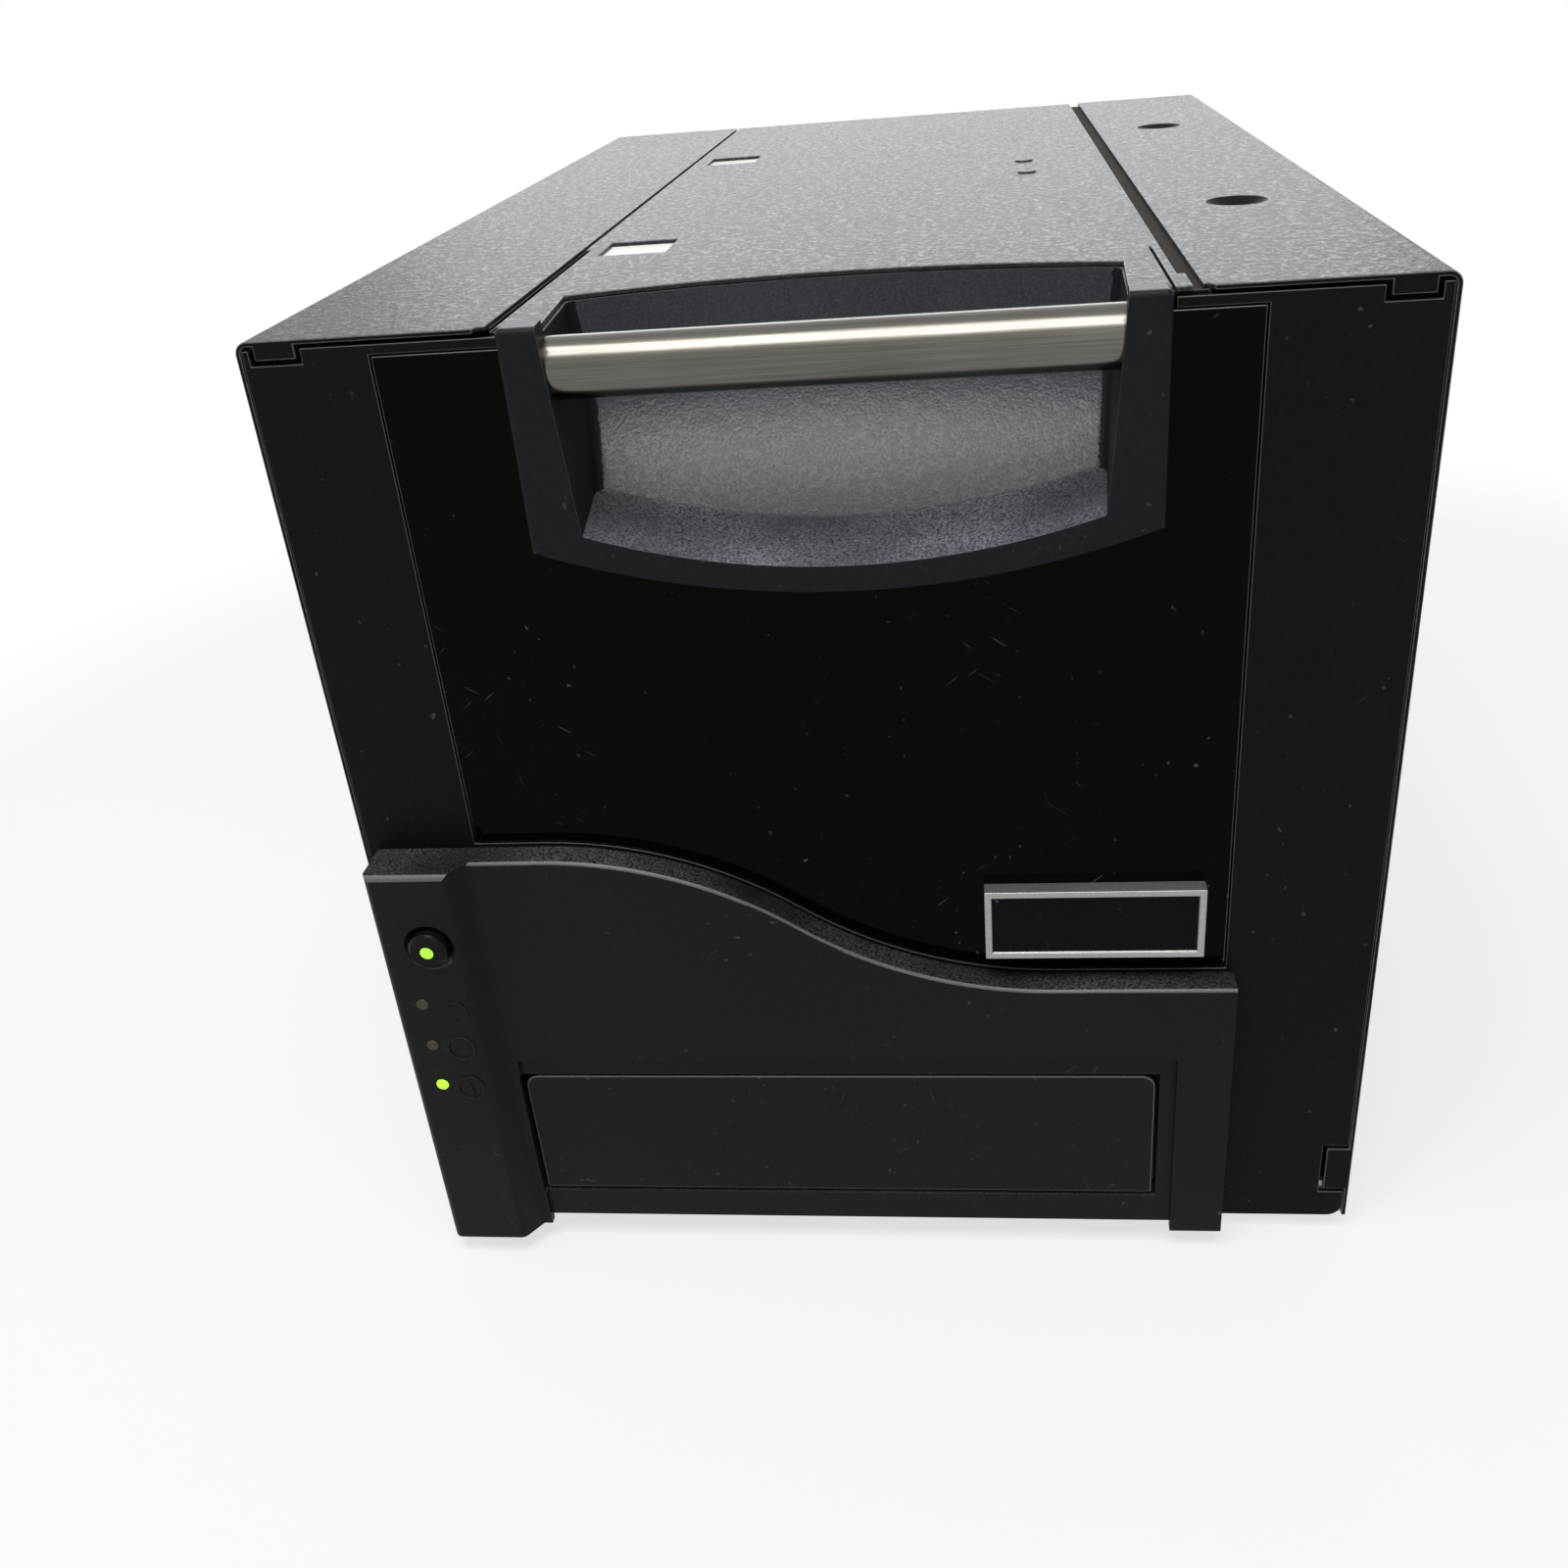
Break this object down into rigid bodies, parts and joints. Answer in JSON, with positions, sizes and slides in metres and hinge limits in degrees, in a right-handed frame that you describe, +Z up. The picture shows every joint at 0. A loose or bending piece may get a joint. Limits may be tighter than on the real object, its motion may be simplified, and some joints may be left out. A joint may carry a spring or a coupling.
{
  "type": "disc label printer",
  "caption": "Desktop disc label printer: boxy black metal case with a film drawer behind a glossy front and recessed pull bar, and a motorised disc tray under a curved bezel.",
  "frame": {"origin": "on the floor under the middle of the printer's overall box, at the soles of the feet", "axes": "+Z up, +Y towards the back, so the drawer and the tray open towards -Y; +X to the right seen from the front"},
  "size_m": [0.267, 0.432, 0.2712],
  "materials": {
    "powder_coat_black": "fine textured black powder coat, satin",
    "matte_black_sheet": "matte black coated sheet",
    "gloss_black": "polished black plastic",
    "slate_plastic": "dark blue-grey satin moulded plastic",
    "satin_black_plastic": "black satin moulded plastic",
    "steel_bar": "brushed stainless steel",
    "badge_metal": "bright plated rim with a dark bare field",
    "zinc_sheet": "zinc plated folded sheet",
    "steel_shaft": "ground steel",
    "white_insert": "white matt plastic",
    "black_rubber": "black rubber",
    "roller_rubber": "dark grey rubber sleeve",
    "circuit_board": "green lacquered circuit board",
    "light_pipe": "clear light pipe, tinted",
    "lens_green": "green lens",
    "black_plastic": "black moulded plastic",
    "tray_plastic": "dark grey moulded plastic",
    "white_nylon": "natural nylon",
    "motor_metal": "grey motor can",
    "clear_film": "wound clear transfer film",
    "ink_ribbon": "wound dark ink ribbon",
    "print_head": "anodised aluminium"
  },
  "bodies": {
    "case": {"base_pan": "zinc_sheet", "rubber_feet": "black_rubber", "left_bay_wall": "matte_black_sheet", "right_bay_wall": "matte_black_sheet", "rear_panel": "matte_black_sheet", "front_plate": "matte_black_sheet", "left_cover": "powder_coat_black", "right_cover": "powder_coat_black", "top_panel": "powder_coat_black", "window_inserts": "white_insert", "lower_bezel": "satin_black_plastic", "panel_board": "circuit_board", "status_lights": "light_pipe", "rear_screws": "steel_shaft", "power_supply": "zinc_sheet", "main_board": "circuit_board", "fan_frame": "black_plastic", "power_inlet": "black_plastic", "data_port": "motor_metal", "outer_rails": "zinc_sheet", "tray_guides": "white_nylon", "drive_motors": "motor_metal", "shuttle_rods": "steel_shaft", "rod_supports": "black_plastic"},
    "power_button": {"power_button": "black_plastic", "button_lens": "lens_green"},
    "fan_rotor": {"fan_rotor": "black_plastic"},
    "rocker": {"rocker_switch": "black_plastic"},
    "tray": {"disc_tray": "tray_plastic", "tray_face": "satin_black_plastic"},
    "tray_pinion": {"tray_pinion": "white_nylon"},
    "shuttle": {"shuttle_carriage": "black_plastic"},
    "shuttle_screw": {"shuttle_screw": "steel_shaft"},
    "lift": {"lift_platform": "tray_plastic"},
    "lift_screw": {"lift_screw": "steel_shaft"},
    "drawer": {"drawer_front": "gloss_black", "handle_housing": "slate_plastic", "handle_bar": "steel_bar", "badge_plate": "badge_metal", "drawer_chassis": "zinc_sheet", "drawer_left_wall": "zinc_sheet", "drawer_right_wall": "zinc_sheet", "inner_rails": "zinc_sheet", "roll_motors": "motor_metal"},
    "film_supply": {"film_supply_spool": "black_plastic", "film_supply_roll": "clear_film"},
    "film_takeup": {"film_takeup_spool": "black_plastic", "film_takeup_roll": "clear_film"},
    "film_pinion": {"film_pinion": "white_nylon"},
    "ribbon_supply": {"ribbon_supply_spool": "black_plastic", "ribbon_supply_roll": "ink_ribbon"},
    "ribbon_takeup": {"ribbon_takeup_spool": "black_plastic", "ribbon_takeup_roll": "ink_ribbon"},
    "ribbon_pinion": {"ribbon_pinion": "white_nylon"},
    "platen": {"platen_roller": "roller_rubber"},
    "heated_roller": {"heated_roller": "roller_rubber"},
    "guide_roller": {"guide_roller": "steel_shaft"},
    "head": {"printhead": "print_head", "head_carrier": "print_head"}
  },
  "joints": [
    {"name": "drawer_slide", "type": "slide", "parent": "case", "child": "drawer", "axis": [0, -1, 0], "range_m": [0, 0.24]},
    {"name": "tray_slide", "type": "slide", "parent": "case", "child": "tray", "axis": [0, -1, 0], "range_m": [0, 0.15]},
    {"name": "tray_pinion_spin", "type": "hinge", "parent": "case", "child": "tray_pinion", "pos_m": [0.07, -0.15955, 0.0256], "axis": [1, 0, 0], "range_deg": [0, 960]},
    {"name": "shuttle_slide", "type": "slide", "parent": "case", "child": "shuttle", "axis": [0, 1, 0], "range_m": [0, 0.182]},
    {"name": "shuttle_screw_spin", "type": "hinge", "parent": "case", "child": "shuttle_screw", "pos_m": [0.00295, 0.00045, 0.015], "axis": [0, 1, 0], "range_deg": [0, 3281]},
    {"name": "lift_slide", "type": "slide", "parent": "shuttle", "child": "lift", "axis": [0, 0, 1], "range_m": [0, 0.0975]},
    {"name": "lift_screw_spin", "type": "hinge", "parent": "shuttle", "child": "lift_screw", "pos_m": [0.00295, -0.03255, 0.075], "axis": [0, 0, 1], "range_deg": [0, 2930]},
    {"name": "film_supply_spin", "type": "hinge", "parent": "drawer", "child": "film_supply", "pos_m": [0.003, 0.15245, 0.221], "axis": [1, 0, 0], "continuous": true},
    {"name": "film_takeup_spin", "type": "hinge", "parent": "drawer", "child": "film_takeup", "pos_m": [0.003, -0.10355, 0.221], "axis": [1, 0, 0], "continuous": true},
    {"name": "film_pinion_spin", "type": "hinge", "parent": "drawer", "child": "film_pinion", "pos_m": [-0.068, -0.0675, 0.21268], "axis": [1, 0, 0], "continuous": true},
    {"name": "ribbon_supply_spin", "type": "hinge", "parent": "drawer", "child": "ribbon_supply", "pos_m": [0.003, 0.09245, 0.235], "axis": [1, 0, 0], "continuous": true},
    {"name": "ribbon_takeup_spin", "type": "hinge", "parent": "drawer", "child": "ribbon_takeup", "pos_m": [0.003, 0.01445, 0.234], "axis": [1, 0, 0], "continuous": true},
    {"name": "ribbon_pinion_spin", "type": "hinge", "parent": "drawer", "child": "ribbon_pinion", "pos_m": [-0.068, -0.01903, 0.2281], "axis": [1, 0, 0], "continuous": true},
    {"name": "platen_spin", "type": "hinge", "parent": "drawer", "child": "platen", "pos_m": [0.003, 0.05245, 0.163], "axis": [1, 0, 0], "continuous": true},
    {"name": "heated_roller_spin", "type": "hinge", "parent": "drawer", "child": "heated_roller", "pos_m": [0.003, 0.00045, 0.15], "axis": [1, 0, 0], "continuous": true},
    {"name": "guide_roller_spin", "type": "hinge", "parent": "drawer", "child": "guide_roller", "pos_m": [0.003, -0.04955, 0.154], "axis": [1, 0, 0], "continuous": true},
    {"name": "head_lift", "type": "hinge", "parent": "drawer", "child": "head", "pos_m": [0.003, 0.08045, 0.199], "axis": [1, 0, 0], "range_deg": [-12, 0]},
    {"name": "fan_spin", "type": "hinge", "parent": "case", "child": "fan_rotor", "pos_m": [0.108, 0.20545, 0.195], "axis": [0, 1, 0], "continuous": true},
    {"name": "rocker_tilt", "type": "hinge", "parent": "case", "child": "rocker", "pos_m": [-0.108, 0.21245, 0.078], "axis": [1, 0, 0], "range_deg": [-16, 0]},
    {"name": "button_press", "type": "slide", "parent": "case", "child": "power_button", "axis": [0, 1, 0], "range_m": [0, 0.0015], "stiffness_N_per_m": 250}
  ],
  "couplings": [
    {"joint": "tray_pinion_spin", "follows": "tray_slide", "rad_per_m": 111.11},
    {"joint": "shuttle_screw_spin", "follows": "shuttle_slide", "rad_per_m": 314.16},
    {"joint": "lift_screw_spin", "follows": "lift_slide", "rad_per_m": 523.6},
    {"joint": "film_pinion_spin", "follows": "film_takeup_spin", "ratio": -3.1111},
    {"joint": "ribbon_pinion_spin", "follows": "ribbon_takeup_spin", "ratio": -2.7778}
  ]
}
